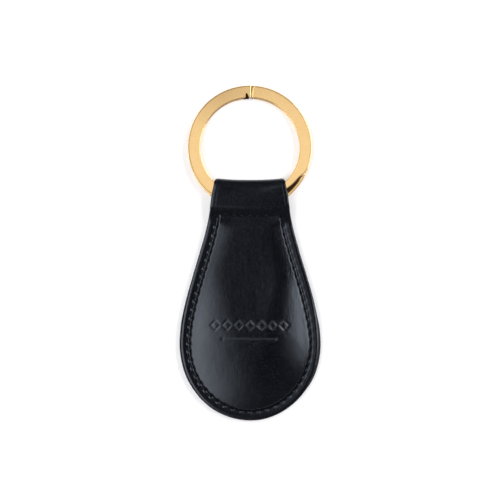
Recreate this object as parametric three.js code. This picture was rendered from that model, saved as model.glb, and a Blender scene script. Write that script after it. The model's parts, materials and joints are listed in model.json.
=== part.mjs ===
// A padded leather key fob on a flat split ring.
//
// The fob is one piece of glazed calf: a pear-shaped front half and back half, joined by a strip
// that folds over the ring. Between the halves lie a stiffener board and a foam pad, and a
// lockstitch runs round the edge and across the neck. The ring is one flat wire coiled twice round;
// the last third of its upper turn is a piece of its own, because it springs up to let a key on.
//
// Millimetres. The fob lies on its back: +Z is up from the back face, +Y runs from the fob's round
// end towards the ring, +X is to the right. The origin is the middle of the footprint, on the
// surface that the fob lies on.
import * as THREE from 'three';
import { mergeVertices } from 'three/addons/utils/BufferGeometryUtils.js';

// ---- split ring ----
const RING_OD = 35.0;          // outside diameter
const RING_BAND = 3.45;        // width of the flat wire, across the ring's face
const WIRE = 0.98;             // thickness of the wire, one turn
const TURN_GAP = 0.06;         // between the two turns
const RING_TILT = 2.55;        // degrees: the far side of the ring touches the surface
const RING_Y = 29.94;          // ring's centre
const JOGGLE = [356, 362.6];   // where the wire steps from the upper turn to the lower, degrees clockwise from +Y
const LOWER_END = 715.5;       // end of the wire on the lower turn
const FREE_END = [3.2, 115.0]; // the springing length of the upper turn: its tip, and where it leaves the coil
const COIL_START = 115.6;      // the rest of the coil begins here
const DEGREES_PER_FACET = 5;

// ---- leather fob, plan ----
// Half-widths [y, x] from the fold down to the widest point; below that the outline is half an ellipse.
const FLANK = [
  [21.2, 9.62], [20.4, 9.98], [19.26, 10.18], [16.71, 10.75], [13.32, 11.18], [9.93, 11.68], [6.53, 12.43],
  [3.14, 13.31], [-0.25, 14.29], [-3.65, 15.33], [-7.04, 16.32], [-10.43, 17.3], [-13.83, 18.18],
  [-17.22, 18.94], [-20.61, 19.5], [-25.7, 19.85],
];
const WIDEST_Y = -25.7;
const HALF_WIDTH = 19.85;
const ROUND_END = 21.73;       // from the widest point to the bottom of the round end
const PANEL_END = 11.3;        // where the two panels stop and the loop begins
const ROW_Y = 10.8;            // stitch row across the neck
const STITCH_INSET = 2.35;     // stitch line round the edge, in from the edge
const GROOVE = 0.34;           // half the width of the channel that the stitches pull into the leather

// ---- leather fob, thickness ----
const LEATHER = 1.2;
const GLUE = 0.05;
const BORDER = 2 * LEATHER + GLUE;
const PUFF = 0.7;              // steep rise just inside the stitch line
const DOME = [0.45, 1.85];     // slow rise from there to the middle: at the neck, at the widest part
const DOME_RUN = [4.5, 12.5];  // over this distance in
const BOARD = 0.6;
const BOARD_RIM = 4.0;         // inset of the board's edge
const FOAM_RIM = 4.4;          // inset of the foam's edge
const EDGE_ROUND = 0.3;
const FRONT_CHANNEL = 0.35;    // depth of the stitch channels
const BACK_CHANNEL = 0.5;

// ---- thread ----
const THREAD = 0.4;
const STITCH = 2.4;

// ---- loop round the ring ----
const LOOP_START = 11.4;
const LOOP_LEATHER = 1.0;      // skived for the fold
const FOLD_OUT = { y: 18.4, run: 2.35, z: 2.25, rise: 2.25, power: 2.6 };
const FOLD_IN = { y: 18.9, run: 1.0, z: 2.25, rise: 1.3, power: 4 };
const CORNER_LIFT = 0.45;      // the fold's corners ride up on the ring's inner edge

const RAD = Math.PI / 180;
const step = THREE.MathUtils.smoothstep;
const softMin = (a, b, k) => -k * Math.log(Math.exp(-a / k) + Math.exp(-b / k));

// ---- materials ----
const leather = new THREE.MeshStandardMaterial({ color: 0x14151a, roughness: 0.38, metalness: 0 });
const thread = new THREE.MeshStandardMaterial({ color: 0x101014, roughness: 0.7, metalness: 0 });
const foam = new THREE.MeshStandardMaterial({ color: 0x4a4a4c, roughness: 0.95, metalness: 0 });
const board = new THREE.MeshStandardMaterial({ color: 0x6a5238, roughness: 0.9, metalness: 0 });
const gold = new THREE.MeshStandardMaterial({ color: 0xe8be78, roughness: 0.15, metalness: 1 });

// Makes one closed body of a geometry whose vertices have been moved: shared corners are merged,
// triangles with no area are dropped, and the faces point out.
function body(geometry, index = Array.from(geometry.index.array)) {
  const bare = new THREE.BufferGeometry();
  bare.setAttribute('position', geometry.getAttribute('position').clone());
  bare.setIndex(index);
  const merged = mergeVertices(bare, 1e-4);
  const at = merged.getAttribute('position'), tris = [];
  const a = new THREE.Vector3(), b = new THREE.Vector3(), c = new THREE.Vector3();
  let volume = 0;
  for (let i = 0; i < merged.index.count; i += 3) {
    const [p, q, r] = [0, 1, 2].map((n) => merged.index.getX(i + n));
    if (p === q || q === r || r === p) continue;
    a.fromBufferAttribute(at, p); b.fromBufferAttribute(at, q); c.fromBufferAttribute(at, r);
    volume += a.dot(b.cross(c));
    tris.push(p, q, r);
  }
  if (volume < 0) for (let i = 0; i < tris.length; i += 3) [tris[i + 1], tris[i + 2]] = [tris[i + 2], tris[i + 1]];
  merged.setIndex(tris);
  merged.computeVertexNormals();
  return merged;
}

// ---- the pear outline ----
// Half-width at height y, a smooth curve through FLANK.
function halfWidth(y) {
  const n = FLANK.length - 1;
  let i = 0;
  while (i < n - 1 && y < FLANK[i + 1][0]) i++;
  const slope = (k) => (k <= 0 ? (FLANK[1][1] - FLANK[0][1]) / (FLANK[1][0] - FLANK[0][0])
    : k >= n ? 0 : (FLANK[k + 1][1] - FLANK[k - 1][1]) / (FLANK[k + 1][0] - FLANK[k - 1][0]));
  const [y0, x0] = FLANK[i], [y1, x1] = FLANK[i + 1], h = y1 - y0, t = (y - y0) / h;
  return (2 * t ** 3 - 3 * t ** 2 + 1) * x0 + (t ** 3 - 2 * t ** 2 + t) * h * slope(i)
    + (3 * t ** 2 - 2 * t ** 3) * x1 + (t ** 3 - t ** 2) * h * slope(i + 1);
}

// A station on the right edge: its point, the way in from it, and the point of the middle line that it faces.
// Near the neck the way in is straight across, so that the panels end in a flat face.
function flankStation(y) {
  const x = halfWidth(y), e = 0.01;
  const rake = ((halfWidth(y + e) - halfWidth(y - e)) / (2 * e)) * step(9.0 - y, 0, 6.0);
  const inward = new THREE.Vector2(-1, rake).normalize();
  return { p: new THREE.Vector2(x, y), inward, spine: y > 8 ? y : 8 + (y - 8) * (28 / 33.7) };
}
function endStation(degrees) {
  const t = degrees * RAD;
  const p = new THREE.Vector2(degrees === 90 ? 0 : HALF_WIDTH * Math.cos(t), WIDEST_Y - ROUND_END * Math.sin(t));
  const inward = new THREE.Vector2(degrees === 90 ? 0 : -Math.cos(t) / HALF_WIDTH, Math.sin(t) / ROUND_END).normalize();
  return { p, inward, spine: -20 - degrees / 20 };
}
const STATIONS = [
  ...[PANEL_END, PANEL_END - 0.1, ROW_Y + GROOVE, ROW_Y - GROOVE, ROW_Y - GROOVE - 0.06, 9.9, 9.4, 9.1, 7.5, 5, 2, -1,
    -4.5, -8, -11.5, -15, -18.5, -22, WIDEST_Y].map(flankStation),
  ...[10, 20, 30, 40, 50, 60, 70, 80, 90].map(endStation),
];
const INSETS = [0, 0.35, STITCH_INSET - GROOVE - 0.06, STITCH_INSET - GROOVE, STITCH_INSET + GROOVE,
  STITCH_INSET + GROOVE + 0.06, 3.3, BOARD_RIM, FOAM_RIM, 5.8, 7.8, 10.2];

// A closed pear-shaped layer. It is a box of cells wrapped round the pear: one cell thick, its long
// way following the edge from neck to neck, its width running in from the edge to the middle line.
// The side that lands on the middle line is left open, because the two halves meet there.
function layer(neckY, insets, zTop, zBottom) {
  const right = STATIONS.filter((s) => s.p.y <= neckY + 1e-6);
  const around = [...right, ...right.slice(0, -1).reverse()], half = right.length - 1;
  const nu = around.length - 1, nv = insets.length;
  const box = new THREE.BoxGeometry(1, 1, 1, nu, nv, 1), at = box.getAttribute('position');
  for (let n = 0; n < at.count; n++) {
    const i = Math.round((at.getX(n) + 0.5) * nu), j = Math.round((at.getY(n) + 0.5) * nv);
    const s = around[i], side = i > half ? -1 : 1;
    const last = s.p.clone().addScaledVector(s.inward, insets[nv - 1]);
    const p = j < nv ? s.p.clone().addScaledVector(s.inward, insets[j]) : new THREE.Vector2(0, s.spine);
    const inset = j < nv ? insets[j] : insets[nv - 1] + p.distanceTo(last);
    at.setXYZ(n, side * p.x, p.y, (at.getZ(n) > 0 ? zTop : zBottom)(inset, p.y));
  }
  const index = Array.from(box.index.array), open = box.groups[2];
  return body(box, [...index.slice(0, open.start), ...index.slice(open.start + open.count)]);
}

// ---- heights ----
const inChannel = (inset, y) => Math.abs(inset - STITCH_INSET) < GROOVE + 0.01 || Math.abs(y - ROW_Y) < GROOVE + 0.01;
function frontTop(inset, y) {
  const e = softMin(inset, ROW_Y - 0.5 - y + 2.8, 0.3);
  const down = step(-y, 1, 25);
  const dome = DOME[0] + (DOME[1] - DOME[0]) * down;
  const t = THREE.MathUtils.clamp((e - 3.1) / (DOME_RUN[0] + (DOME_RUN[1] - DOME_RUN[0]) * down), 0, 1);
  return BORDER + PUFF * step(e, 2.75, 3.5) + dome * (1 - (1 - t) ** 2);
}
const frontOutside = (inset, y) => frontTop(inset, y)
  - (inset < 0.01 ? EDGE_ROUND : 0) - (inChannel(inset, y) ? FRONT_CHANNEL : 0);
const frontInside = (inset, y) => Math.max(LEATHER + GLUE, frontTop(inset, y) - LEATHER);
const backOutside = (inset, y) => (inset < 0.01 ? EDGE_ROUND : inChannel(inset, y) ? BACK_CHANNEL : 0);
const boardTop = LEATHER + GLUE + BOARD;

const frontPanel = layer(PANEL_END, INSETS, frontOutside, frontInside);
const backPanel = layer(PANEL_END, INSETS.slice(0, 6), () => LEATHER, backOutside);
const boardBody = layer(9.4, [BOARD_RIM], () => boardTop, () => LEATHER + GLUE);
// Its upper side is the box's under side, so that its facets lie along the leather's.
const foamBody = layer(9.1, [FOAM_RIM, 5.8, 7.8, 10.2],
  () => boardTop + GLUE, (inset, y) => frontTop(inset, y) - LEATHER - GLUE);

// ---- lockstitch: a needle thread on the front and a bobbin thread on the back, each dipping at every hole ----
const section = new THREE.Shape(Array.from({ length: 6 }, (_, n) =>
  new THREE.Vector2(Math.cos(n * 60 * RAD), Math.sin(n * 60 * RAD)).multiplyScalar(THREAD / 2)));
function stitched(line, z, dip) {
  const length = line.getLength(), stitches = Math.round(length / STITCH);
  const points = line.getSpacedPoints(2 * stitches).map((p, n) => new THREE.Vector3(p.x, p.y, z + (n % 2 ? -dip : 0)));
  const run = new THREE.CatmullRomCurve3(points);
  return body(mergeVertices(new THREE.ExtrudeGeometry(section, { steps: 2 * stitches, extrudePath: run, bevelEnabled: false }), 1e-4));
}
const edgeLine = (() => {
  const inset = (s) => s.p.clone().addScaledVector(s.inward, STITCH_INSET);
  const right = STATIONS.filter((s) => s.p.y < 9.95).map(inset);
  const left = right.slice(0, -1).reverse().map((p) => new THREE.Vector2(-p.x, p.y));
  return new THREE.SplineCurve([...right, ...left]);
})();
const neckLine = new THREE.SplineCurve([-9.6, -4.8, 0, 4.8, 9.6].map((x) => new THREE.Vector2(x, ROW_Y)));
const needleZ = BORDER - FRONT_CHANNEL + THREAD / 2 + 0.1;
const bobbinZ = BACK_CHANNEL - THREAD / 2 - 0.1;

// ---- loop: the strip between the panels, folded round the ring ----
function fold({ y, run, z, rise, power }, from, to, n) {
  return Array.from({ length: n + 1 }, (_, k) => {
    const a = (from + ((to - from) * k) / n) * RAD, c = Math.cos(a), s = Math.sin(a);
    return [y + run * Math.sign(c) * Math.abs(c) ** (2 / power), z + rise * Math.sign(s) * Math.abs(s) ** (2 / power)];
  });
}
const loopSection = [
  [LOOP_START, 0], ...fold(FOLD_OUT, -90, 90, 16),
  [13.6, 4.85], [12.8, 4.8], [12.0, 4.3], [11.55, 3.3], [LOOP_START, BORDER],
  [LOOP_START, LEATHER + GLUE], [11.75, 1.5], [12.05, 2.6], [12.15, 3.45], [12.6, 3.85],
  ...fold(FOLD_IN, 90, -90, 12), [12.4, LOOP_LEATHER - 0.05], [11.75, 1.1], [LOOP_START, LEATHER],
];
const ringLoop = (() => {
  const shape = new THREE.Shape(loopSection.map(([y, z]) => new THREE.Vector2(y, z)));
  const strip = new THREE.ExtrudeGeometry(shape, { depth: 2, steps: 14, bevelEnabled: false });
  const at = strip.getAttribute('position');
  for (let n = 0; n < at.count; n++) {
    const y = at.getX(n), z = at.getY(n), t = at.getZ(n) - 1;
    const lift = CORNER_LIFT * t * t * step(y, 17.5, 20.5);
    at.setXYZ(n, t * halfWidth(y + lift), y + lift, z);
  }
  return body(mergeVertices(strip, 1e-4));
})();

// ---- split ring, in its own frame: centre at the origin, axis +Z ----
const coilLevel = (degrees) => {
  const high = (WIRE + TURN_GAP) / 2;
  return high - 2 * high * step(degrees, JOGGLE[0], JOGGLE[1]);
};
// Flat wire along an arc, angles in degrees clockwise from +Y.
function wire(angles, level) {
  const n = angles.length - 1, box = new THREE.BoxGeometry(1, 1, 1, n, 1, 1), at = box.getAttribute('position');
  for (let k = 0; k < at.count; k++) {
    const degrees = angles[Math.round((at.getX(k) + 0.5) * n)], a = degrees * RAD;
    const r = RING_OD / 2 - (at.getY(k) > 0 ? RING_BAND : 0);
    at.setXYZ(k, r * Math.sin(a), r * Math.cos(a), level(degrees) + (at.getZ(k) * WIRE));
  }
  return body(box);
}
const spread = (from, to, by) => {
  const n = Math.ceil((to - from) / by);
  return Array.from({ length: n + 1 }, (_, k) => from + ((to - from) * k) / n);
};
const coil = wire([
  ...spread(COIL_START, JOGGLE[0], DEGREES_PER_FACET).slice(0, -1),
  ...spread(JOGGLE[0], JOGGLE[1], 1.7).slice(0, -1),
  ...spread(JOGGLE[1], LOWER_END, DEGREES_PER_FACET),
], coilLevel);
const freeEnd = wire(spread(FREE_END[0], FREE_END[1], DEGREES_PER_FACET), () => (WIRE + TURN_GAP) / 2);

// ---- assembly ----
const named = (name, geometry, material) => {
  const mesh = new THREE.Mesh(geometry, material);
  mesh.name = name;
  return mesh;
};
const fobGroup = new THREE.Group();
fobGroup.add(
  named('front_panel', frontPanel, leather),
  named('back_panel', backPanel, leather),
  named('stiffener_board', boardBody, board),
  named('foam_pad', foamBody, foam),
  named('perimeter_needle_thread', stitched(edgeLine, needleZ, 0.05), thread),
  named('perimeter_bobbin_thread', stitched(edgeLine, bobbinZ, -0.04), thread),
  named('neck_needle_thread', stitched(neckLine, needleZ, 0.05), thread),
  named('neck_bobbin_thread', stitched(neckLine, bobbinZ, -0.04), thread),
  named('ring_loop', ringLoop, leather),
);

const ringGroup = new THREE.Group();
const halfRing = WIRE + TURN_GAP / 2;
ringGroup.position.set(0, RING_Y, (RING_OD / 2) * Math.sin(RING_TILT * RAD) + halfRing * Math.cos(RING_TILT * RAD));
ringGroup.rotation.x = -RING_TILT * RAD;
ringGroup.add(named('split_ring_coil', coil, gold), named('split_ring_free_end', freeEnd, gold));

const keyFob = new THREE.Group();
keyFob.add(fobGroup, ringGroup);

// The origin is the middle of the footprint.
keyFob.updateMatrixWorld(true);
const footprint = new THREE.Box3().setFromObject(keyFob, true);
keyFob.position.set(-(footprint.min.x + footprint.max.x) / 2, -(footprint.min.y + footprint.max.y) / 2, -footprint.min.z);

export default keyFob;
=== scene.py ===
import json
import math

import bmesh
import bpy
import numpy as np
from mathutils import Matrix, Vector


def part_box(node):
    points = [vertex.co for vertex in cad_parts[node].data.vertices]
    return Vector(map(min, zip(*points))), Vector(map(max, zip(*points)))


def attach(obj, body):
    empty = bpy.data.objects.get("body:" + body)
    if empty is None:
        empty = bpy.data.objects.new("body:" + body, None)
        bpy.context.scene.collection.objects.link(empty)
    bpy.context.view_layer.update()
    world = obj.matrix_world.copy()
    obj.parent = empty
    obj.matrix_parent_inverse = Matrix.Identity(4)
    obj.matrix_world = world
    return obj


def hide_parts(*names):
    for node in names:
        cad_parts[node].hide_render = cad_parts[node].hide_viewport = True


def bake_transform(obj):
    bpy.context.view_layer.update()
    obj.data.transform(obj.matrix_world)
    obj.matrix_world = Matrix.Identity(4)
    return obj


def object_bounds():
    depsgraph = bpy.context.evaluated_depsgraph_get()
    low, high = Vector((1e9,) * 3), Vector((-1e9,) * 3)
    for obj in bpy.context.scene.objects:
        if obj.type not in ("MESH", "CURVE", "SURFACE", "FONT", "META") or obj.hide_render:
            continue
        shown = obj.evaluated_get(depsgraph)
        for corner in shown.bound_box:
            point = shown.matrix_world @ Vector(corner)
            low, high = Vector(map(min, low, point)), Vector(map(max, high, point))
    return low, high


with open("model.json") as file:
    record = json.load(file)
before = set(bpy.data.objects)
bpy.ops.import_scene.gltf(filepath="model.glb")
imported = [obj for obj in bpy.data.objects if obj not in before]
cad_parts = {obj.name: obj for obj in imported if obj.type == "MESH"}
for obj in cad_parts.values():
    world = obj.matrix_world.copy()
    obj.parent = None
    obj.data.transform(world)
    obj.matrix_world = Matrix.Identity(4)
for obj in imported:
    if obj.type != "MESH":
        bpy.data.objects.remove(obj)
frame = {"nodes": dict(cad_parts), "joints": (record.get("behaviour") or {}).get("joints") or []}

CAD_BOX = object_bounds()
JOINT = {j["name"]: j for j in frame["joints"]}
SHIFT_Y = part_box("front_panel")[1].y * 1000 - 11.3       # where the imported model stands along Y
FLOOR_Z = CAD_BOX[0].z * 1000 - 0.02

# ---------------------------------------------------------------- small tools

def smooth(x, a, b):
    t = np.clip((np.asarray(x, float) - a) / (b - a), 0, 1)
    return t * t * (3 - 2 * t)


def softmin(a, b, k):
    m = np.minimum(a, b)
    return m - k * np.log(np.exp(-(a - m) / k) + np.exp(-(b - m) / k))


def noise(x, y, size, seed):
    """Smooth value noise from -1 to 1, on a fixed lattice."""
    g = np.random.RandomState(seed).rand(64, 64)
    u, v = np.asarray(x, float) / size + 200.0, np.asarray(y, float) / size + 200.0
    i, j = np.floor(u).astype(int), np.floor(v).astype(int)
    fu, fv = u - i, v - j
    fu, fv = fu * fu * (3 - 2 * fu), fv * fv * (3 - 2 * fv)
    a, b = g[i % 64, j % 64], g[(i + 1) % 64, j % 64]
    c, d = g[i % 64, (j + 1) % 64], g[(i + 1) % 64, (j + 1) % 64]
    return ((a * (1 - fu) + b * fu) * (1 - fv) + (c * (1 - fu) + d * fu) * fv) * 2 - 1


class Build:
    """Collects vertices and faces in millimetres."""

    def __init__(self):
        self.v, self.f, self.mat, self.n = [], [], [], 0
        self.extra = []

    def add(self, xyz, extra=0.0):
        """Adds an array of points (..., 3); returns their indices in the same shape."""
        a = np.asarray(xyz, float)
        flat = a.reshape(-1, 3)
        self.v.append(flat)
        self.extra.append(np.broadcast_to(np.asarray(extra, float), a.shape[:-1]).reshape(-1))
        idx = np.arange(self.n, self.n + len(flat)).reshape(a.shape[:-1])
        self.n += len(flat)
        return idx

    def quads(self, g, mat=0, wrap=False):
        """Faces of an index grid; wrap closes the first direction."""
        a = np.vstack([g, g[:1]]) if wrap else g
        q = np.stack([a[:-1, :-1], a[1:, :-1], a[1:, 1:], a[:-1, 1:]], -1)
        m = np.broadcast_to(np.asarray(mat), q.shape[:-1]) if np.ndim(mat) else np.full(q.shape[:-1], mat)
        self.f += [tuple(dict.fromkeys(r)) for r in q.reshape(-1, 4).tolist()]
        self.mat += m.reshape(-1).tolist()

    def zip(self, a, pa, b, pb, mat=0):
        """Triangles between two chains whose parameters rise."""
        i = j = 0
        while i < len(a) - 1 or j < len(b) - 1:
            if j == len(b) - 1 or (i < len(a) - 1 and pa[i + 1] <= pb[j + 1]):
                self.f.append((int(a[i]), int(b[j]), int(a[i + 1])))
                i += 1
            else:
                self.f.append((int(a[i]), int(b[j]), int(b[j + 1])))
                j += 1
            self.mat.append(mat)

    def object(self, name, materials, extra_name="pressed"):
        v = np.vstack(self.v)
        co = (v + [0, SHIFT_Y, 0]) * 0.001
        mesh = bpy.data.meshes.new(name)
        faces = [(f, m) for f, m in zip(self.f, self.mat) if len(f) > 2]
        mesh.from_pydata(co.tolist(), [], [f for f, _ in faces])
        mesh.polygons.foreach_set("material_index", [m for _, m in faces])
        mesh.polygons.foreach_set("use_smooth", [True] * len(faces))
        rest = mesh.attributes.new("rest", "FLOAT_VECTOR", "POINT")
        rest.data.foreach_set("vector", v.astype(np.float32).ravel())
        more = mesh.attributes.new(extra_name, "FLOAT", "POINT")
        more.data.foreach_set("value", np.concatenate(self.extra).astype(np.float32))
        bm = bmesh.new()
        bm.from_mesh(mesh)
        bmesh.ops.recalc_face_normals(bm, faces=bm.faces)
        for f in bm.faces:                         # cut ends are flat, with a crisp rim
            if len(f.verts) > 4:
                f.smooth = False
                for e in f.edges:
                    e.smooth = False
        open_edges = sum(1 for e in bm.edges if len(e.link_faces) != 2)
        if bm.calc_volume(signed=True) < 0:
            bmesh.ops.reverse_faces(bm, faces=bm.faces)
        bm.to_mesh(mesh)
        bm.free()
        print(f"{name}: {len(mesh.vertices)} vertices, {sum(len(p.vertices) - 2 for p in mesh.polygons)} triangles, {open_edges} open edges")
        for m in materials:
            mesh.materials.append(m)
        o = bpy.data.objects.new(name, mesh)
        bpy.context.scene.collection.objects.link(o)
        return o


# ---------------------------------------------------------------- materials

def node_material(name):
    m = bpy.data.materials.new(name)
    m.use_nodes = True
    t = m.node_tree
    return m, t, t.nodes["Principled BSDF"]


def rest_coordinates(t):
    n = t.nodes.new("ShaderNodeAttribute")
    n.attribute_name = "rest"
    return n.outputs["Vector"]


def object_coordinates(t):
    return t.nodes.new("ShaderNodeTexCoord").outputs["Object"]


def noise_node(t, vec, scale, detail=3.0, rough=0.5):
    n = t.nodes.new("ShaderNodeTexNoise")
    n.inputs["Scale"].default_value = scale
    n.inputs["Detail"].default_value = detail
    n.inputs["Roughness"].default_value = rough
    t.links.new(vec, n.inputs["Vector"])
    return n.outputs["Fac"]


def ramp(t, fac, stops):
    n = t.nodes.new("ShaderNodeValToRGB")
    while len(n.color_ramp.elements) < len(stops):
        n.color_ramp.elements.new(0.5)
    for e, (p, c) in zip(n.color_ramp.elements, stops):
        e.position = p
        e.color = (*c, 1) if hasattr(c, "__len__") else (c, c, c, 1)
    t.links.new(fac, n.inputs["Fac"])
    return n.outputs["Color"]


def math_node(t, op, a, b=None, c=None, clamp=False):
    n = t.nodes.new("ShaderNodeMath")
    n.operation = op
    n.use_clamp = clamp
    for i, x in enumerate((a, b, c)):
        if x is None:
            continue
        if isinstance(x, (int, float)):
            n.inputs[i].default_value = x
        else:
            t.links.new(x, n.inputs[i])
    return n.outputs[0]


def mix_colour(t, fac, a, b):
    n = t.nodes.new("ShaderNodeMix")
    n.data_type = "RGBA"
    for sock, x in ((n.inputs[0], fac), (n.inputs[6], a), (n.inputs[7], b)):
        if isinstance(x, (int, float)):
            sock.default_value = x
        elif isinstance(x, tuple):
            sock.default_value = (*x, 1)
        else:
            t.links.new(x, sock)
    return n.outputs[2]


def bump(t, height, distance, strength=1.0, normal=None):
    n = t.nodes.new("ShaderNodeBump")
    n.inputs["Distance"].default_value = distance
    n.inputs["Strength"].default_value = strength
    t.links.new(height, n.inputs["Height"])
    if normal is not None:
        t.links.new(normal, n.inputs["Normal"])
    return n.outputs["Normal"]


def glazed_calf():
    """Black glazed calf: fine pores and wrinkles under a clear finish."""
    m, t, p = node_material("glazed_calf")
    at = rest_coordinates(t)
    pressed = t.nodes.new("ShaderNodeAttribute")
    pressed.attribute_name = "pressed"
    cells = t.nodes.new("ShaderNodeTexVoronoi")
    cells.feature = "DISTANCE_TO_EDGE"
    cells.inputs["Scale"].default_value = 2.6
    t.links.new(at, cells.inputs["Vector"])
    wrinkle = ramp(t, cells.outputs["Distance"], [(0.0, 0.0), (0.22, 1.0)])
    fine = noise_node(t, at, 9.0, 3.0, 0.55)
    medium = noise_node(t, at, 2.5, 3.0, 0.55)
    broad = noise_node(t, at, 0.35, 3.0, 0.5)
    height = math_node(t, "MULTIPLY_ADD", wrinkle, 0.45, fine)
    height = math_node(t, "MULTIPLY_ADD", medium, 3.8, height)
    t.links.new(bump(t, height, 0.000009, 1.0), p.inputs["Normal"])
    tone = mix_colour(t, ramp(t, broad, [(0.35, 0.0), (0.7, 1.0)]), (0.0003, 0.0004, 0.0007), (0.0007, 0.0008, 0.0013))
    painted_glint = ramp(t, noise_node(t, at, 2.1, 4.0, 0.7), [(0.51, 0.0), (0.64, 1.0)])      # painted highlight: the glints the grain's tops catch, put into the colour
    tone = mix_colour(t, painted_glint, tone, (0.0080, 0.0086, 0.0118))
    tone = mix_colour(t, pressed.outputs["Fac"], tone, (0.0020, 0.0020, 0.0026))
    t.links.new(tone, p.inputs["Base Color"])
    rough = math_node(t, "MULTIPLY_ADD", fine, 0.05, 0.12)
    rough = math_node(t, "MULTIPLY_ADD", broad, 0.05, rough)
    rough = math_node(t, "MULTIPLY_ADD", pressed.outputs["Fac"], 0.25, rough)
    t.links.new(rough, p.inputs["Roughness"])
    p.inputs["Specular IOR Level"].default_value = 0.48
    p.inputs["Specular Tint"].default_value = (0.77, 0.86, 1.0, 1)
    return m


def edge_paint():
    """The painted cut edge, brownish in patches towards the round end."""
    m, t, p = node_material("edge_paint")
    at = rest_coordinates(t)
    sep = t.nodes.new("ShaderNodeSeparateXYZ")
    t.links.new(at, sep.inputs[0])
    low = math_node(t, "MULTIPLY_ADD", sep.outputs["Y"], -0.5, -22.7, clamp=True)
    grain = noise_node(t, at, 1.4, 4.0, 0.6)
    brownish = math_node(t, "MULTIPLY", low, ramp(t, grain, [(0.42, 0.0), (0.62, 1.0)]))
    t.links.new(mix_colour(t, brownish, (0.004, 0.004, 0.0055), (0.085, 0.038, 0.024)), p.inputs["Base Color"])
    t.links.new(math_node(t, "MULTIPLY_ADD", grain, 0.25, 0.32), p.inputs["Roughness"])
    t.links.new(bump(t, noise_node(t, at, 3.0, 4.0, 0.6), 0.00002, 0.8), p.inputs["Normal"])
    p.inputs["Specular IOR Level"].default_value = 0.12
    return m


def flesh_side():
    m, t, p = node_material("flesh_side")
    at = rest_coordinates(t)
    f = noise_node(t, at, 5.0, 5.0, 0.7)
    t.links.new(mix_colour(t, f, (0.010, 0.009, 0.009), (0.030, 0.027, 0.025)), p.inputs["Base Color"])
    t.links.new(bump(t, f, 0.00015, 1.0), p.inputs["Normal"])
    p.inputs["Roughness"].default_value = 0.9
    p.inputs["Specular IOR Level"].default_value = 0.2
    return m


def waxed_thread():
    m, t, p = node_material("waxed_thread")
    at = rest_coordinates(t)
    f = noise_node(t, at, 9.0, 4.0, 0.6)
    t.links.new(mix_colour(t, f, (0.0015, 0.0015, 0.0022), (0.0040, 0.0040, 0.0058)), p.inputs["Base Color"])
    t.links.new(math_node(t, "MULTIPLY_ADD", f, 0.2, 0.45), p.inputs["Roughness"])
    t.links.new(bump(t, f, 0.00001, 1.0), p.inputs["Normal"])
    p.inputs["Specular IOR Level"].default_value = 0.07
    p.inputs["Specular Tint"].default_value = (0.84, 0.88, 1.0, 1)
    return m


def gold_plate():
    """Polished gold plate with a little wear; painted shade and painted reflection in brown at the joints, in the
    notch, along the cut and on the stepped bevel.
    """
    m, t, p = node_material("gold_plate")
    at = rest_coordinates(t)
    painted_shade = t.nodes.new("ShaderNodeAttribute")
    painted_shade.attribute_name = "painted_shade"
    broad = noise_node(t, at, 0.5, 3.0, 0.5)
    fine = noise_node(t, at, 14.0, 4.0, 0.65)
    tone = mix_colour(t, ramp(t, broad, [(0.3, 0.0), (0.7, 1.0)]), (0.90, 0.60, 0.265), (0.93, 0.63, 0.29))
    # painted shade and painted reflection: the gold turns dark brown where the wire marks shade
    painted_shade_amount = math_node(t, "MULTIPLY", painted_shade.outputs["Fac"], ramp(t, noise_node(t, at, 6.0, 3.0, 0.5), [(0.1, 0.75), (0.5, 1.0)]))
    painted_dim_patch = t.nodes.new("ShaderNodeVectorMath")      # painted shade: a darker patch to the left of the top, where less light reaches the gold
    painted_dim_patch.operation = "DISTANCE"
    t.links.new(at, painted_dim_patch.inputs[0])
    painted_dim_patch.inputs[1].default_value = (-8.0, 44.5, 0.5)
    tone = mix_colour(t, ramp(t, math_node(t, "DIVIDE", painted_dim_patch.outputs["Value"], 12.0), [(0.0, 1.0), (1.0, 0.0)]), tone, (0.72, 0.48, 0.22))
    tone = mix_colour(t, painted_shade_amount, tone, (0.035, 0.012, 0.004))
    t.links.new(tone, p.inputs["Base Color"])
    p.inputs["Metallic"].default_value = 1.0
    rough = math_node(t, "MULTIPLY_ADD", fine, 0.07, 0.09)
    rough = math_node(t, "MULTIPLY_ADD", painted_shade_amount, 0.25, rough)
    t.links.new(rough, p.inputs["Roughness"])
    t.links.new(bump(t, fine, 0.0000006, 1.0), p.inputs["Normal"])
    return m


def grey_foam():
    m, t, p = node_material("grey_foam")
    at = object_coordinates(t)
    cells = t.nodes.new("ShaderNodeTexVoronoi")
    cells.inputs["Scale"].default_value = 2600
    t.links.new(at, cells.inputs["Vector"])
    t.links.new(mix_colour(t, cells.outputs["Distance"], (0.035, 0.035, 0.037), (0.11, 0.11, 0.115)), p.inputs["Base Color"])
    t.links.new(bump(t, cells.outputs["Distance"], 0.0002), p.inputs["Normal"])
    p.inputs["Roughness"].default_value = 0.95
    return m


def fibre_board():
    m, t, p = node_material("fibre_board")
    at = object_coordinates(t)
    f = noise_node(t, at, 1800, 5.0, 0.7)
    t.links.new(mix_colour(t, f, (0.10, 0.065, 0.035), (0.20, 0.14, 0.085)), p.inputs["Base Color"])
    t.links.new(bump(t, f, 0.0001), p.inputs["Normal"])
    p.inputs["Roughness"].default_value = 0.9
    return m


LEATHER_LOOK, PAINT_LOOK, FLESH_LOOK = glazed_calf(), edge_paint(), flesh_side()
THREAD_LOOK, GOLD_LOOK = waxed_thread(), gold_plate()

# ---------------------------------------------------------------- the pear outline

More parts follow.
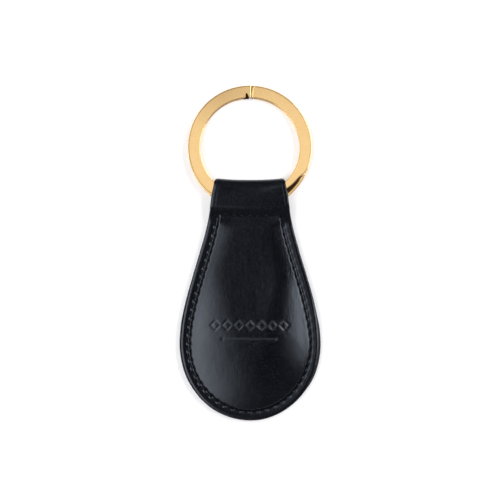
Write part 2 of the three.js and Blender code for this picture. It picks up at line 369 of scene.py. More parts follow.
FLANK = np.array([
    [21.2, 9.62], [20.4, 9.98], [19.26, 10.18], [16.71, 10.75], [13.32, 11.18], [9.93, 11.68], [6.53, 12.43],
    [3.14, 13.31], [-0.25, 14.29], [-3.65, 15.33], [-7.04, 16.32], [-10.43, 17.3], [-13.83, 18.18],
    [-17.22, 18.94], [-20.61, 19.5], [-25.7, 19.85]])
WIDEST_Y, HALF_WIDTH, ROUND_END = -25.7, 19.85, 21.73
NECK_Y = 13.4                    # the panels' grid ends here and the loop's begins
RING_Y = JOINT["ring_spin"]["pos_m"][1] * 1000 - SHIFT_Y
LEATHER, GLUE = 1.2, 0.05
BORDER = 2 * LEATHER + GLUE
STITCH_INSET, PITCH = 2.35, 2.4


def half_width(y):
    ys, xs = FLANK[:, 0], FLANK[:, 1]
    n = len(ys) - 1
    m = np.empty(n + 1)
    m[0] = (xs[1] - xs[0]) / (ys[1] - ys[0])
    m[1:n] = (xs[2:] - xs[:-2]) / (ys[2:] - ys[:-2])
    m[n] = 0
    y = np.asarray(y, float)
    i = np.clip(np.searchsorted(-ys[1:], -y, side="left"), 0, n - 1)
    h = ys[i + 1] - ys[i]
    t = (y - ys[i]) / h
    return ((2 * t**3 - 3 * t**2 + 1) * xs[i] + (t**3 - 2 * t**2 + t) * h * m[i]
            + (3 * t**2 - 2 * t**3) * xs[i + 1] + (t**3 - t**2) * h * m[i + 1])


H = 285                          # stations on each side


def stations():
    """Right-hand stations from the neck to the middle of the round end: point, way in, end of the ray."""
    yf = np.linspace(NECK_Y, WIDEST_Y, 3000)
    pf = np.stack([half_width(yf), yf], -1)
    te = np.radians(np.linspace(0, 90, 3000))
    pe = np.stack([HALF_WIDTH * np.cos(te), WIDEST_Y - ROUND_END * np.sin(te)], -1)
    lf = np.concatenate([[0], np.cumsum(np.linalg.norm(np.diff(pf, axis=0), axis=1))])
    le = np.concatenate([[0], np.cumsum(np.linalg.norm(np.diff(pe, axis=0), axis=1))])
    s = np.linspace(0, lf[-1] + le[-1], H + 1)
    p, inward, spine = np.empty((H + 1, 2)), np.empty((H + 1, 2)), np.empty(H + 1)
    for k, v in enumerate(s):
        if v <= lf[-1]:
            y = np.interp(v, lf, yf)
            p[k] = half_width(y), y
            rake = (half_width(y + 0.01) - half_width(y - 0.01)) / 0.02 * smooth(9.0 - y, 0, 6)
            inward[k] = -1, rake
            spine[k] = y
        else:
            t = np.interp(v - lf[-1], le, te)
            p[k] = HALF_WIDTH * math.cos(t), WIDEST_Y - ROUND_END * math.sin(t)
            inward[k] = -math.cos(t) / HALF_WIDTH, math.sin(t) / ROUND_END
    p[-1, 0] = inward[-1, 0] = 0
    # below the neck the rays' ends bunch up smoothly towards the middle of the round end
    s8 = np.interp(-8.0, -yf, lf)
    u = np.clip((s - s8) / (s[-1] - s8), 0, 1)
    low = s > s8
    spine[low] = (8 - 32.5 * (1 - (1 - u) ** 2.11))[low]
    inward /= np.linalg.norm(inward, axis=1)[:, None]
    return p, inward, spine


P, IN, SPINE = stations()
SIDE = np.concatenate([np.ones(H + 1), -np.ones(H)])          # both sides, right neck round to left neck
ORDER = np.concatenate([np.arange(H + 1), np.arange(H)[::-1]])

# Arc length along the stitch line of each station, from the top of the row.
_line = P + IN * STITCH_INSET
_run = np.concatenate([[0], np.cumsum(np.linalg.norm(np.diff(_line, axis=0), axis=1))])
ROW_TOP = 10.0
_run -= np.interp(-ROW_TOP, -P[:, 1], _run)
STITCHES = int(round(_run[-1] / PITCH))
_step = _run[-1] / STITCHES


def hole_places(seed):
    """Arc lengths of the needle holes on one side; the last is the middle of the round end."""
    k = np.arange(STITCHES + 1)
    s = k * _step + np.random.RandomState(seed).uniform(-0.07, 0.07, len(k))
    s[-1] = _run[-1]
    return s


HOLES = {1: hole_places(3), -1: hole_places(4)}


def phase(s, side):
    """Whole numbers at the holes."""
    k = np.arange(STITCHES + 1)
    out = np.where(side > 0, np.interp(s, HOLES[1], k), np.interp(s, HOLES[-1], k))
    return np.where(s < 0, s / _step, out)


def from_hole(ph):
    """Distance along the stitch line from the nearest hole, mm."""
    return (ph - np.round(ph)) * _step


# ---------------------------------------------------------------- heights of the leather

ROW_MID = 10.85                  # stitch row across the neck: its ends turn up round the ring
ROW_HALF = 9.1


def row_y(x):
    return ROW_MID + 1.35 * (np.abs(x) / 8.8) ** 4


ROW_HOLES = np.linspace(-ROW_HALF, ROW_HALF, 9) + np.random.RandomState(9).uniform(-0.08, 0.08, 9)


def shoulder(x):
    """Where the leather starts to climb over the ring; it spans the ring's curve more straightly than the wire runs."""
    round_ = RING_Y - np.sqrt(18.15**2 - np.minimum(np.abs(x), 12.5) ** 2)
    return RING_Y - 18.15 + 0.18 * (round_ - RING_Y + 18.15)


def ornament(x, y):
    """Blind-tooled motif: a row of lozenges over a short rule with round ends. 1 at the bottom of a line."""
    out = np.zeros_like(x)
    for k in range(7):
        cx, cy = (k - 3) * 3.25, -20.3
        q = np.abs(x - cx) / 1.55 + np.abs(y - cy) / 1.55
        out = np.maximum(out, np.exp(-(((q - 0.82) * 1.1) / 0.24) ** 2))
    rule = np.exp(-((y + 24.1) / 0.27) ** 2) * smooth(7.2 - np.abs(x), 0, 0.35)
    ends = np.exp(-(((np.abs(x) - 7.6) ** 2 + (y + 24.1) ** 2) / 0.5**2) ** 1.5)
    return np.maximum(out, np.maximum(rule, ends))


def pad_height(x, y, d, reach, s, side):
    """Front face without stitch channels: border, pad and dome."""
    under = row_y(x) - 0.5 - y + 2.7
    e = d + 0.0
    ph = phase(s, side)
    beside = smooth(4.2 - d, 0, 1.0) * smooth(9.6 - y, 0, 1.2)
    e = e - 0.12 * np.cos(2 * np.pi * ph) * beside + 0.30 * (side > 0) * np.exp(-(((y + 25.5) / 4.5) ** 2))
    run = np.minimum(5.5 + 11 * smooth(-y, 1, 27), np.maximum(reach - 2.95, 0.1))
    t = np.clip((d - 2.95) / run, 0, 1)
    u = np.clip((under - 2.95) / 5.5, 0, 1)
    high = 0.45 + 1.5 * smooth(-y, 3, 25)
    high = high * (1 + 0.40 * smooth(x, 0, 15.5) * np.exp(-(((y + 8.0) / 7.0) ** 2)))      # fuller at the upper right
    dome = high * (1 - (1 - t) ** 2.1) * (1 - (1 - u) ** 2.5)
    z = BORDER + 0.72 * smooth(e, 2.62, 3.42) * smooth(under, 2.75, 6.2) + dome
    soft = smooth(d, 3.3, 6) * smooth(under, 3.3, 7)
    z = z + soft * (0.022 * noise(x, y, 6.5, 21) + 0.009 * noise(x, y, 2.3, 22))
    return z


def over_ring(x, y):
    """What the ring under the leather adds: the climb and the sag inside it; the ridge along the wire is set to zero
    height.
    """
    rho = np.hypot(x, RING_Y - y)
    up = smooth(y, shoulder(x) - 4.6, shoulder(x) + 1.9)
    ridge = 0.0 * np.exp(-(((rho - 15.8) / 1.1) ** 2)) * up
    sag = -0.08 * smooth(13.9 - rho, 0, 2.2)
    return up, ridge + sag


def front_outside(x, y, d, reach, s, side):
    z = pad_height(x, y, d, reach, s, side)
    up, shape = over_ring(x, y)
    z = z + up * 2.38 + shape
    ph = phase(s, side)
    ds = from_hole(ph)
    on = smooth(10.6 - y, 0, 0.5) * (0.3 + 0.7 * smooth(ph, 0.3, 0.7))
    z = z - on * (0.04 * np.exp(-(((d - STITCH_INSET) / 0.30) ** 2)) + 0.36 * np.exp(-((d - STITCH_INSET) ** 2 + ds**2) / 0.24**2)
                  + 0.02 * np.exp(-(((d - 2.05) / 0.45) ** 2 + (ds / 0.6) ** 2)))
    z = z - 0.09 * smooth(d, 0.8, 2.4) * smooth(3.4 - d, 0, 0.8) * smooth(12.5 - y, 0, 2.5)      # the stitches pull the border down
    dn = y - row_y(x)
    hx = np.abs(x[..., None] - ROW_HOLES).min(-1)
    across = smooth(ROW_HALF + 0.45 - np.abs(x), 0, 0.4) * (1 - 0.7 * smooth(np.abs(x), 8.3, 8.8))
    z = z - across * (0.04 * np.exp(-((dn / 0.3) ** 2)) + 0.15 * np.exp(-(dn**2 + hx**2) / 0.24**2))
    z = z - 0.012 * np.exp(-(((d - 1.3) / 0.15) ** 2))
    mark = ornament(x, y)
    z = z - 0.11 * mark
    z = z + 0.005 * noise(x, y, 0.8, 23)
    pressed = np.clip(mark + 0.65 * on * np.exp(-(((d - STITCH_INSET) / 0.3) ** 2)), 0, 1)
    return z, pressed


def front_inside(x, y, d, reach, s, side):
    z = np.maximum(LEATHER + GLUE, pad_height(x, y, d, reach, s, side) - LEATHER)
    up, shape = over_ring(x, y)
    return z + smooth(y, shoulder(x) - 0.5, shoulder(x) + 0.55) * 2.6 + np.minimum(shape, 0) * 0.8


def back_outside(x, y, d, s, side):
    ds = from_hole(phase(s, side))
    on = smooth(10.6 - y, 0, 0.5)
    z = on * (0.40 * np.exp(-(((d - STITCH_INSET) / 0.33) ** 2)) + 0.25 * np.exp(-((d - STITCH_INSET) ** 2 + ds**2) / 0.27**2))
    dn = y - row_y(x)
    hx = np.abs(x[..., None] - ROW_HOLES).min(-1)
    across = smooth(ROW_HALF + 0.45 - np.abs(x), 0, 0.4)
    z = np.maximum(z, across * (0.40 * np.exp(-((dn / 0.33) ** 2)) + 0.25 * np.exp(-(dn**2 + hx**2) / 0.27**2)))
    z = z + 0.06 * np.exp(-(((d - 1.14) / 0.10) ** 2))
    pressed = np.clip(on * np.exp(-(((d - STITCH_INSET) / 0.3) ** 2)), 0, 1)
    return z, pressed


# Edge of one layer: inset, and share of the way from the outside to the inside.
EDGE = np.array([[1.0, 0], [0.83, 0.010], [0.66, 0.034], [0.50, 0.072], [0.36, 0.125], [0.25, 0.19], [0.155, 0.27],
                 [0.08, 0.37], [0.03, 0.48], [0.0, 0.61], [0.0, 0.75], [0.025, 0.87], [0.08, 0.95], [0.16, 1.0]])
PAINT_FROM = 5


def edge_shift(layer):
    """How far each station's cut edge is from true, + inwards: the two layers never quite match."""
    i = np.arange(2 * H + 1)
    x, y = SIDE * P[ORDER, 0], P[ORDER, 1]
    wob = 0.05 * noise(i * 0.24, np.full(len(i), 7.0 * layer), 5.0, 31) * smooth(11 - y, 0, 3)
    right = (SIDE > 0) * smooth(y, -41, -36) * smooth(-17 - y, 0, 5)
    left = (SIDE < 0) * smooth(y, -44, -38) * smooth(-12 - y, 0, 8)
    return wob + (0.10 * right + 0.02 * left if layer == 0 else -0.24 * right - 0.10 * left)


def grid(insets, inner, shift):
    """Points of a panel: columns at the insets, then `inner` columns on to the middle line.
    Returns x, y, distance in, reach of the ray, stitch arc length, side."""
    last = insets[-1]
    p = P[ORDER] * np.stack([SIDE, np.ones(2 * H + 1)], -1)
    w = IN[ORDER] * np.stack([SIDE, np.ones(2 * H + 1)], -1)
    mid = np.stack([np.zeros(2 * H + 1), SPINE[ORDER]], -1)
    ins = np.array(insets)
    eff = ins[None] + shift[:, None] * (1 - smooth(ins, 1.0, 2.3))[None]
    a = p[:, None] + w[:, None] * eff[..., None]
    q = p + w * last
    f = np.linspace(0, 1, inner + 1)[1:]
    b = q[:, None] + (mid - q)[:, None] * f[None, :, None]
    span = np.linalg.norm(mid - q, axis=1)
    xy = np.concatenate([a, b], 1)
    d = np.concatenate([np.broadcast_to(ins, a.shape[:2]), last + span[:, None] * f[None]], 1)
    reach = np.broadcast_to((last + span)[:, None], d.shape)
    s = np.broadcast_to(_run[ORDER][:, None], d.shape)
    side = np.broadcast_to(SIDE[:, None], d.shape)
    return xy[..., 0], xy[..., 1], d, reach, s, side


def add_panel(b, x, y, z, extra=0.0):
    """Adds a panel's grid; the two sides share the middle line."""
    g = b.add(np.stack([x, y, z], -1), extra)
    g[H + 1:, -1] = g[:H, -1][::-1]
    return g


def neck_row(g):
    """The chain of indices across a panel's neck, right to left."""
    return np.concatenate([g[0], g[-1, :-1][::-1]])


# ---- the leather: one folded sheet ----

shell = Build()
FRONT_INSETS = [1.0, 1.1, 1.2, 1.3, 1.4, 1.55, 1.7, 1.83, 1.95, 2.06, 2.16, 2.26, 2.35, 2.44, 2.54, 2.64, 2.74, 2.84,
                2.94, 3.04, 3.14, 3.24, 3.34, 3.44, 3.56, 3.7, 3.9, 4.2, 4.6]
BACK_INSETS = [1.0, 1.07, 1.14, 1.21, 1.3, 1.5, 1.7, 1.88, 2.04, 2.2, 2.35, 2.5, 2.66, 2.84, 3.2, 3.8]
IN_FRONT, IN_BACK = [0.16, 1.5, 3.0, 4.0, 5.0], [0.16, 1.5, 3.5]

sf, sb = edge_shift(0), edge_shift(1)
x, y, d, reach, s, side = grid(FRONT_INSETS, 48, sf)
zf, pressed = front_outside(x, y, d, reach, s, side)
FO = add_panel(shell, x, y, zf, pressed)
xb, yb, db, rb, s_b, side_b = grid(BACK_INSETS, 8, sb)
zb, pressed_b = back_outside(xb, yb, db, s_b, side_b)
BO = add_panel(shell, xb, yb, zb, pressed_b)
xi, yi, di, ri, s_i, side_i = grid(IN_FRONT, 8, sf)
zi = front_inside(xi, yi, di, ri, s_i, side_i)
zi[:, 0] = np.minimum(zi[:, 0], zf[:, 0] - 0.6)
FI = add_panel(shell, xi, yi, zi)
xj, yj, dj, rj, s_j, side_j = grid(IN_BACK, 3, sb)
zj = LEATHER - 0.15 * smooth(yj, 11.6, 12.9)
BI = add_panel(shell, xj, yj, zj)
for g, m in ((FO, 0), (BO, 0), (FI, 2), (BI, 2)):
    shell.quads(g, m)

# The loop: rows from the front panel's neck over the fold to the back panel's.
FOLD = dict(y=17.75, run=3.0, z=2.25, rise=2.28, power=2.25)
POCKET = dict(y=18.9, run=1.0, z=2.25, rise=1.3, power=4.0)


def fold_point(f, a):
    c, s_ = math.cos(a), math.sin(a)
    return (f["y"] + f["run"] * math.copysign(abs(c) ** (2 / f["power"]), c),
            f["z"] + f["rise"] * math.copysign(abs(s_) ** (2 / f["power"]), s_))


rows = []                        # outer y, z; inner y, z; how much it belongs to the top
top_y = np.arange(NECK_Y + 0.25, FOLD["y"], 0.25)
z_neck = 4.83
for yy in top_y:
    t = (yy - NECK_Y) / (FOLD["y"] - NECK_Y)
    rows.append((yy, z_neck - (z_neck - FOLD["z"] - FOLD["rise"]) * float(smooth(t, 0.2, 1)),
                 NECK_Y + t * (POCKET["y"] - NECK_Y), 3.85 - 0.30 * float(smooth(t, 0.2, 1)), 1.0))
for a in np.radians(np.linspace(90, -90, 45)):
    rows.append((*fold_point(FOLD, a), *fold_point(POCKET, a), (1 + math.sin(a)) / 2))
for yy in np.linspace(FOLD["y"], NECK_Y + 0.3, 14)[1:]:
    t = (yy - NECK_Y) / (FOLD["y"] - NECK_Y)
    rows.append((yy, 0.0, NECK_Y + t * (POCKET["y"] - NECK_Y), 0.95 + 0.1 * (1 - t), 0.0))
rows = np.array(rows)
LOOP_INSETS = np.array([1.0, 1.1, 1.2, 1.3, 1.4, 1.6, 1.9, 2.4])


def loop_x(width, insets, n):
    """Positions across a row, right to left, as shares of the half-width, and the insets."""
    half = np.concatenate([width - insets, (width - insets[-1]) * (1 - np.arange(1, n + 1) / n)])
    return np.concatenate([half, -half[:-1][::-1]])


def lift(t, y):
    return 0.50 * np.abs(t) ** 2.6 * smooth(y, 17.0, 20.5)


def sag_to_fold(x, y, top):
    """Between the wire and the fold nothing holds the middle of the top up; the wire holds up its corners."""
    over = y - 16.9
    return 0.13 * 0.5 * (over + np.sqrt(over**2 + 0.3)) * top * (1 - smooth(np.abs(x), 2.0, 9.9))


def loop_skin(insets, n, outer):
    out = []
    for oy, oz, iy, iz, top in rows:
        yy, zz = (oy, oz) if outer else (iy, iz)
        w = float(half_width(yy))
        xs = loop_x(w, insets, n)
        t = xs / w
        yv = yy + lift(t, yy)
        xs = xs * half_width(np.minimum(yv, 21.9)) / w
        _, shape = over_ring(xs, np.minimum(yv, 19.4))
        up = over_ring(xs, yv)[0]
        zv = zz + top * (shape if outer else np.minimum(shape, 0) * 0.8)
        zv = zv - (sag_to_fold(xs, yv, top) - sag_to_fold(xs, NECK_Y, top)) * smooth(yy, NECK_Y, 15)
        if yy < 17.5 and top > 0.5:          # the climb is still going on at the sides
            zv = zv - (1 - up) * (2.38 if outer else 2.55)
        if outer:
            d = w - np.abs(xs)
            zv = zv - 0.03 * top * np.exp(-(((d - 1.3) / 0.12) ** 2)) + 0.005 * top * noise(xs, yv, 0.8, 23)
        out.append(np.stack([xs, yv, zv], -1))
    return np.array(out)


lo = loop_skin(LOOP_INSETS, 20, True)
li = loop_skin(np.array([0.16, 1.5, 3.0]), 6, False)
LO, LI = shell.add(lo), shell.add(li)
shell.quads(LO, 0)
shell.quads(LI, 2)
V = np.vstack(shell.v)
for a, b_, m in ((neck_row(FO), LO[0], 0), (neck_row(BO), LO[-1], 0), (neck_row(FI), LI[0], 2), (neck_row(BI), LI[-1], 2)):
    shell.zip(a, -V[a, 0], b_, -V[b_, 0], m)


def rim(x, y):
    """How fully the rim is rounded over: most at the lower left, least near the neck on the right."""
    left = 0.55 + 0.6 * smooth(-y, 4, 16) * smooth(y, -46, -38)
    right = 0.22 + 0.45 * smooth(-y, 10, 18) * smooth(y, -44, -36)
    return np.where(x < 0, left, right)


def drop_share(k, round_):
    """Share of the way down for each rim point; the outermost ones stay where they are."""
    keep = smooth(1 - k[:, 0], 0.72, 0.97)[None]
    return k[:, 1][None] * (round_[:, None] + (1 - round_[:, None]) * keep)


def panel_edge(outer_z, inner_z, shift):
    """Edge wall points of a panel between its outside (first column) and inside."""
    k = EDGE[1:-1]
    p = P[ORDER] * np.stack([SIDE, np.ones(2 * H + 1)], -1)
    w = IN[ORDER] * np.stack([SIDE, np.ones(2 * H + 1)], -1)
    xy = p[:, None] + w[:, None] * (k[:, 0][None] + shift[:, None])[..., None]
    z = outer_z[:, None] + (inner_z - outer_z)[:, None] * drop_share(k, rim(p[:, 0], p[:, 1]))
    return np.concatenate([xy, z[..., None]], -1)


def loop_edge(sign):
    k = EDGE[1:-1]
    o, i_ = (lo[:, 0], li[:, 0]) if sign > 0 else (lo[:, -1], li[:, -1])
    full = half_width(np.minimum(o[:, 1], 21.9))
    fin = half_width(np.minimum(i_[:, 1], 21.9))
    f = drop_share(k, rim(o[:, 0], o[:, 1]))
    y = o[:, 1:2] + (i_[:, 1:2] - o[:, 1:2]) * f
    z = o[:, 2:3] + (i_[:, 2:3] - o[:, 2:3]) * f
    w = full[:, None] + (fin - full)[:, None] * f
    return np.stack([sign * (w - k[:, 0][None]), y, z], -1)


pf = shell.add(panel_edge(zf[:, 0], zi[:, 0], sf))
pb = shell.add(panel_edge(zb[:, 0], zj[:, 0], sb))
er, el = shell.add(loop_edge(1)), shell.add(loop_edge(-1))
ring_of_edges = np.vstack([
    np.column_stack([FO[:, 0], pf, FI[:, 0]]),
    np.column_stack([LO[:, -1], el, LI[:, -1]]),
    np.column_stack([BO[:, 0], pb, BI[:, 0]])[::-1],
    np.column_stack([LO[:, 0], er, LI[:, 0]])[::-1],
])
paint = np.array([1 if k >= PAINT_FROM else 0 for k in range(len(EDGE) - 1)])
shell.quads(ring_of_edges, np.broadcast_to(paint, (len(ring_of_edges), len(paint))), wrap=True)
leather = shell.object("leather_shell", [LEATHER_LOOK, PAINT_LOOK, FLESH_LOOK])

# ---------------------------------------------------------------- thread

THREAD_R = 0.17


def rope(name, line, up=(0, 0, 1)):
    """A three-ply twisted thread along a close line of points, with round ends."""
    line = np.asarray(line, float)
    tan = np.gradient(line, axis=0)
    tan /= np.linalg.norm(tan, axis=1)[:, None]
    side_v = np.cross(tan, np.array(up, float))
    side_v /= np.linalg.norm(side_v, axis=1)[:, None]
    upv = np.cross(side_v, tan)
    run = np.concatenate([[0], np.cumsum(np.linalg.norm(np.diff(line, axis=0), axis=1))])
    th = np.linspace(0, 2 * np.pi, 13)[:-1]
    ends = np.minimum(1, np.sqrt(np.clip(1 - (1 - np.minimum(run, run[-1] - run) / THREAD_R).clip(0, 1) ** 2, 0.02, 1)))
    r = THREAD_R * (1 + 0.11 * np.cos(3 * (th[None] - 2 * np.pi * run[:, None] / 1.5))) * ends[:, None]
    ring = line[:, None] + side_v[:, None] * (r * np.cos(th))[..., None] + upv[:, None] * (r * np.sin(th))[..., None]
    b = Build()
    g = b.add(ring)
    b.quads(np.column_stack([g, g[:, :1]]))
    for e in (g[0], g[-1]):
        b.f.append(tuple(int(q) for q in e))
        b.mat.append(0)
    return b.object(name, [THREAD_LOOK])


def perimeter_line(front):
    """Centreline of the thread round the edge, right neck to left neck."""
    pts = []
    for sd in (1, -1):
        s_top = HOLES[sd][0] - 0.05
        sv = np.arange(s_top, _run[-1], 0.11)
        px = np.interp(sv, _run, _line[:, 0]) * sd
        py = np.interp(sv, _run, _line[:, 1])
        nx, ny = np.interp(sv, _run, IN[:, 0]) * sd, np.interp(sv, _run, IN[:, 1])
        ph = phase(sv, np.full(len(sv), sd))
        ds = from_hole(ph)
        reach = np.interp(sv, _run, np.hypot(_line[:, 0], _line[:, 1] - SPINE)) + STITCH_INSET
        slant = 0.07 * ((ph % 1) - 0.5) * 2 * (1 - np.exp(-((ds / 0.4) ** 2)))
        px, py = px + nx * slant, py + ny * slant
        if front:
            z = pad_height(px, py, np.full(len(sv), STITCH_INSET), reach, sv, np.full(len(sv), sd)) - 0.24
            z = z + over_ring(px, py)[0] * 2.38
            z = z - 0.50 * np.exp(-((ds / 0.33) ** 2)) + 0.05 * np.cos(np.pi * np.clip(ds / 1.2, -1, 1)) * -1
        else:
            z = 0.24 + 0.34 * np.exp(-((ds / 0.33) ** 2))
        line = np.stack([px, py, z], -1)
        pts.append(line if sd > 0 else line[::-1])
    return np.vstack([pts[0], [[0, WIDEST_Y - ROUND_END + STITCH_INSET, pts[0][-1, 2]]], pts[1]])


def neck_line(front):
    x = np.arange(ROW_HOLES[0] - 0.05, ROW_HOLES[-1] + 0.06, 0.1)
    hx = np.abs(x[:, None] - ROW_HOLES).min(-1)
    y = row_y(x) + 0.03 * np.sin(x * 2.6)
    if front:
        z = BORDER - 0.12 - 0.42 * np.exp(-((hx / 0.33) ** 2))
        up, shape = over_ring(x, y)
        z = z + up * 2.38 + shape
    else:
        z = 0.24 + 0.34 * np.exp(-((hx / 0.33) ** 2))
    return np.stack([x, y, z], -1)


needle, bobbin = rope("perimeter_needle_stitches", perimeter_line(True)), rope("perimeter_bobbin_stitches", perimeter_line(False))
neck_needle, neck_bobbin = rope("neck_needle_stitches", neck_line(True)), rope("neck_bobbin_stitches", neck_line(False))

# ---------------------------------------------------------------- split ring

R_OUT, R_IN, TURN, GAP = 17.5, 14.05, 0.98, 0.06
AXIS = Vector(JOINT["ring_spin"]["axis"])
TILT = math.atan2(AXIS.y, AXIS.z)
RING_Z = JOINT["ring_spin"]["pos_m"][2] * 1000
HIGH = (TURN + GAP) / 2
TIP, LEAVES = 1.75, 115.3          # the springing length, degrees clockwise from +Y


def level(deg):
    """The wire steps down from the upper turn to the lower under the springing end."""
    return HIGH - 2 * HIGH * smooth(deg, 360.7, 364.2)


def section(n_face=9, r=0.14, n_corner=5):
    """Rounded flat section: share across (0 inside, 1 outside) with corner offsets, height from the middle."""
    pts = []
    h = TURN / 2
    for cx, cz, a0 in ((1, 1, 90), (1, -1, 0), (0, -1, -90), (0, 1, -180)):
        for a in np.radians(np.linspace(a0, a0 - 90, n_corner)):
            pts.append((cx, (-r if cx else r) + r * math.cos(a), cz * (h - r) + r * math.sin(a)))
        if (cx, cz) in ((1, -1), (0, 1)):
            far = 0 if cx else 1
            for f in np.linspace(0, 1, n_face + 1)[1:-1]:
                u = cx + (far - cx) * f
                pts.append((u, (-r if cx else r) * (1 - f) + (r if cx else -r) * f, -h if cz < 0 else h))
    return np.array(pts)


SECTION = section()


def notch(deg):
    """Depth of the V cut in the inner edge where the wire is cranked down."""
    d = (deg + 180) % 360 - 180
    return 1.35 * np.clip(np.minimum((d + 5.6) / 1.9, (-0.7 - d) / 2.6), 0, 1)


def wire(name, degs, upper_only=False):
    b = Build()
    degs = np.asarray(degs, float)
    rad = np.radians(degs)
    lv = np.full(len(degs), HIGH) if upper_only else level(degs)
    lower = smooth(HIGH - lv, 0.1, 2 * HIGH)
    rin = R_IN + notch(degs) * (1 - lower) * (degs < 364)
    turn = degs % 360
    reveal = (1.25 * smooth(turn, 111, 124) + 0.65 * smooth(turn, 121, 146)) * smooth(230 - turn, 0, 40)
    step_in = reveal * (1 - lower)
    rout = R_OUT - step_in
    sec = SECTION
    across = rin[:, None] + (rout - rin)[:, None] * sec[:, 0][None] + sec[:, 1][None]
    z = lv[:, None] + sec[:, 2][None]
    # the stepped side is a bevel that slopes outwards to the lower turn
    slope = (sec[:, 0] > 0.99)[None] * (step_in[:, None] > 0.02)
    across = across + slope * np.minimum(step_in[:, None], 0.45) * np.clip((TURN / 2 - sec[:, 2][None]) / TURN, 0, 1)
    if upper_only:                                 # the springing end tapers underneath, where it rides over the step
        floor_z = level(degs + 360) + TURN / 2 + 0.05
        z = np.maximum(z, np.minimum(floor_z, HIGH + TURN / 2 - 0.16)[:, None])
    if upper_only:
        z = z - 0.04 * (1 - smooth(degs, TIP + 1.5, TIP + 1.8))[:, None] * (sec[:, 2][None] > 0)
        rad = rad[:, None] + np.radians(0.95 * smooth(sec[:, 0], 0.45, 1.0)[None] * (1 - smooth(degs, TIP + 2, TIP + 6))[:, None])
    else:
        rad = rad[:, None]
    dy = -0.22 * lower
    pos = np.stack([across * np.sin(rad), across * np.cos(rad) + dy[:, None], z], -1)
    top = sec[:, 2][None] > TURN / 2 - 0.03
    # painted shade and painted reflection: where shade falls on the wire and where it mirrors the black leather, the
    # gold is marked to turn dark brown
    painted_shade = np.zeros(across.shape)
    # painted reflection and shade: the stepped bevel, dark as if it mirrored the black leather
    painted_shade = np.maximum(painted_shade, slope * (~top) * smooth(step_in[:, None], 0.55, 0.95))
    gap = smooth(turn, 298, 304) + smooth(32 - turn, 0, 6)     # painted shade on the inner wall between the turns, at the top
    painted_shade = np.maximum(painted_shade, (sec[:, 0] < 0.01)[None] * (sec[:, 2][None] < TURN / 2 - 0.12) * ((1 - lower) * gap)[:, None] * 0.9)
    low_face = lower[:, None] > 0.9
    # painted shadow of the upper turn on the lower turn's uncovered face
    painted_shade = np.maximum(painted_shade, low_face * top * smooth(reveal[:, None], 0.85, 1.3) * smooth(R_OUT - 0.66 - across, -0.15, 0.15))
    inner_wall = (sec[:, 0] < 0.01)[None] & (sec[:, 2][None] < TURN / 2 - 0.06)
    # painted shade in the notch
    painted_shade = np.maximum(painted_shade, inner_wall * smooth(notch(degs)[:, None], 0.1, 0.5))
    near = np.abs((degs + 180) % 360 - 180 + 3.0)[:, None]
    # painted shade on the lower turn under the notch
    painted_shade = np.maximum(painted_shade, (lower[:, None] > 0.9) * smooth(5.0 - near, 0, 1.0))
    lean = 0.95 * smooth(sec[:, 0], 0.45, 1.0)[None]   # the cut across the wire is a lazy S
    # painted shade along the S-shaped cut at the crank
    painted_shade = np.maximum(painted_shade, (degs[:, None] > 358) * smooth(degs[:, None] - lean, 361.0, 361.2) * smooth(364.0 - degs[:, None], 0, 0.5))
    if upper_only:
        end = (degs - degs[0])[:, None]
        # painted shade on the lower part of the springing end's cut face
        painted_shade = np.maximum(painted_shade, (end < 0.05) * (sec[:, 2][None] < TURN / 2 - 0.2) * 0.9)
    ct, st = math.cos(TILT), math.sin(TILT)
    pos = np.stack([pos[..., 0], pos[..., 1] * ct + pos[..., 2] * st + RING_Y, -pos[..., 1] * st + pos[..., 2] * ct + RING_Z], -1)
    g = b.add(pos, painted_shade)
    b.quads(np.column_stack([g, g[:, :1]]))
    n = len(sec)
    for e in (g[0], g[-1]):                        # flat ends, filled across the wire
        b.f.append(tuple(int(q) for q in e))
        b.mat.append(0)
    return b.object(name, [GOLD_LOOK], "painted_shade")


coil_degs = np.concatenate([np.arange(LEAVES, 353, 1.2), np.arange(353, 371, 0.25), np.arange(371, 708, 1.2), np.arange(708, 719.3, 0.5)])
coil = wire("ring_coil", coil_degs)
free_end = wire("ring_free_end", np.concatenate([np.arange(TIP, 11, 0.25), np.arange(11, LEAVES - 0.3, 1.0), [LEAVES]]), True)

# ---------------------------------------------------------------- joining the pieces to the frame

for o in (leather, neck_needle, neck_bobbin):
    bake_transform(o)
for o in (needle, bobbin):
    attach(o, "fob")
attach(coil, "ring")


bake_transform(free_end)
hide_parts("front_panel", "back_panel", "ring_loop")
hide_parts("perimeter_needle_thread")
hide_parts("perimeter_bobbin_thread")
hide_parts("neck_needle_thread")
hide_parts("neck_bobbin_thread")
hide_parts("split_ring_coil")
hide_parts("split_ring_free_end")
for node, look in (("foam_pad", grey_foam()), ("stiffener_board", fibre_board())):
    mesh = frame["nodes"][node].data
    mesh.materials.clear()
    mesh.materials.append(look)

# ---------------------------------------------------------------- floor, light and camera

floor_mesh = bpy.data.meshes.new("floor")
F = 3.0
floor_mesh.from_pydata([(-F, -F, FLOOR_Z / 1000), (F, -F, FLOOR_Z / 1000), (F, F, FLOOR_Z / 1000), (-F, F, FLOOR_Z / 1000)], [], [(0, 1, 2, 3)])
floor = bpy.data.objects.new("floor", floor_mesh)
bpy.context.scene.collection.objects.link(floor)
fm, ft, fp = node_material("pale_floor")
fp.inputs["Base Color"].default_value = (0.70, 0.70, 0.71, 1)
fp.inputs["Emission Color"].default_value = (1, 1, 1, 1)
fp.inputs["Emission Strength"].default_value = 0.32
fp.inputs["Roughness"].default_value = 0.9
fp.inputs["Specular IOR Level"].default_value = 0.1
floor_mesh.materials.append(fm)

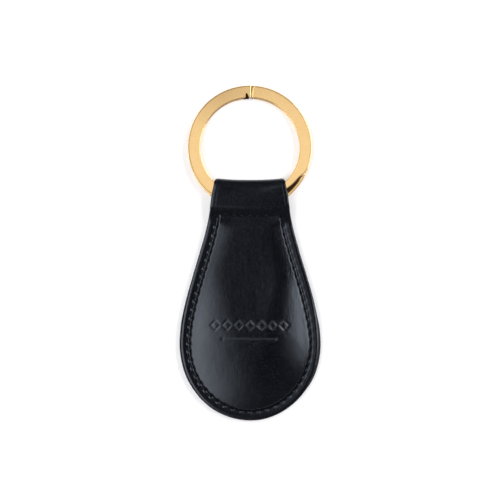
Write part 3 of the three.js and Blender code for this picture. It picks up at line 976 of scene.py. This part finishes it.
# A pale wall far round the floor, only to be seen behind the object; it sends it no light.
turns = np.radians(np.arange(0, 360, 3.75))
wall_v = [(1.35 * math.cos(a), 1.35 * math.sin(a), FLOOR_Z / 1000 + h) for h in (-0.01, 0.5, 1.5, 3.0) for a in turns]
n_wall = len(turns)
wall_f = [(k * n_wall + i, k * n_wall + (i + 1) % n_wall, (k + 1) * n_wall + (i + 1) % n_wall, (k + 1) * n_wall + i)
          for k in range(3) for i in range(n_wall)]
wall_mesh = bpy.data.meshes.new("backdrop")
wall_mesh.from_pydata(wall_v, [], wall_f)
wall = bpy.data.objects.new("backdrop", wall_mesh)
bpy.context.scene.collection.objects.link(wall)
wm, wt, wp = node_material("pale_wall")
wp.inputs["Base Color"].default_value = (0.3, 0.3, 0.3, 1)
wp.inputs["Roughness"].default_value = 1.0
wp.inputs["Emission Color"].default_value = (1, 1, 1, 1)
wp.inputs["Emission Strength"].default_value = 0.70
wall_mesh.materials.append(wm)
wall.visible_diffuse = wall.visible_glossy = wall.visible_shadow = False

world = bpy.data.worlds.new("studio")
bpy.context.scene.world = world
world.use_nodes = True
world.node_tree.nodes["Background"].inputs["Color"].default_value = (0.80, 0.81, 1.0, 1)
world.node_tree.nodes["Background"].inputs["Strength"].default_value = 0.08


def softbox(name, tilt_x, tilt_y, distance, width, height, radiance, colour=(1, 1, 1)):
    """A soft light facing the object, its direction given by tilts from straight up towards +X and +Y, degrees."""
    way = Vector((math.tan(math.radians(tilt_x)), math.tan(math.radians(tilt_y)), 1)).normalized()
    lamp = bpy.data.lights.new(name, "AREA")
    lamp.shape = "RECTANGLE"
    lamp.size, lamp.size_y = width, height
    lamp.color = colour
    lamp.energy = radiance * math.pi * width * height
    o = bpy.data.objects.new(name, lamp)
    o.location = way * distance
    o.rotation_mode = "QUATERNION"
    wide = Vector((0, 1, 0)).cross(way).normalized()          # its width runs along X, its height along Y
    o.rotation_quaternion = Matrix((wide, way.cross(wide), way)).transposed().to_quaternion()
    o.visible_camera = False
    bpy.context.scene.collection.objects.link(o)
    return o


def panel(name, near, far, side, back, height, radiance):
    """A soft light from one angle off the vertical to another, on one side; `back` tilts it towards +Y."""
    a, b = math.radians(near), math.radians(far)
    return softbox(name, side * (near + far) / 2, back, 1.2, 2 * 1.2 * math.tan((b - a) / 2), height, radiance)


gold_only = bpy.data.collections.new("gold_only")       # the ring and the leather each have their own light from above
no_gold = bpy.data.collections.new("no_gold")
for o in (coil, free_end):
    gold_only.objects.link(o)
    no_gold.objects.link(o)
for member in no_gold.collection_objects:
    member.light_linking.link_state = "EXCLUDE"
for n, (near, more) in enumerate(((5.0, 0.55), (10.0, 0.5), (15.5, 0.8), (21.0, 1.0), (28.0, 1.3))):
    part = panel(f"left_box_{n}", near, 52, -1, 0, 1.6, more)
    if n < 3:
        part.light_linking.receiver_collection = no_gold
panel("right_box", 27.5, 54.0, 1, 20, 1.0, 7.2)
softbox("rear_box", 0, 56, 1.3, 1.3, 1.0, 0.8).light_linking.receiver_collection = gold_only
softbox("fold_box", 0, 54, 1.3, 1.2, 1.5, 0.12).light_linking.receiver_collection = no_gold
softbox("front_fill", 0, -48, 1.3, 1.6, 1.5, 0.10).light_linking.receiver_collection = no_gold
softbox("top_box", 0.6, 8.9, 1.3, 0.30, 0.18, 0.62).light_linking.receiver_collection = gold_only
softbox("gold_fill", 0, 0, 1.3, 3.4, 3.4, 0.42).light_linking.receiver_collection = gold_only
for name, tilt_x, tilt_y, wide, high in (("low_left", -68, 0, 0.8, 2.4), ("low_right", 68, 0, 0.8, 2.4),
                                         ("low_back", 0, 68, 2.4, 0.8), ("low_front", 0, -68, 2.4, 0.8)):
    softbox(name, tilt_x, tilt_y, 1.4, wide, high, 0.55).light_linking.receiver_collection = gold_only

scene = bpy.context.scene
scene.view_settings.view_transform = "Standard"
cam = bpy.data.cameras.new("camera")
cam.lens, cam.sensor_width = 127.3, 36.0
cam.clip_start, cam.clip_end = 0.01, 20
camera = bpy.data.objects.new("camera", cam)
camera.location = (0.00006, 0.00087, 0.50245)
scene.collection.objects.link(camera)
scene.camera = camera

bpy.context.view_layer.update()
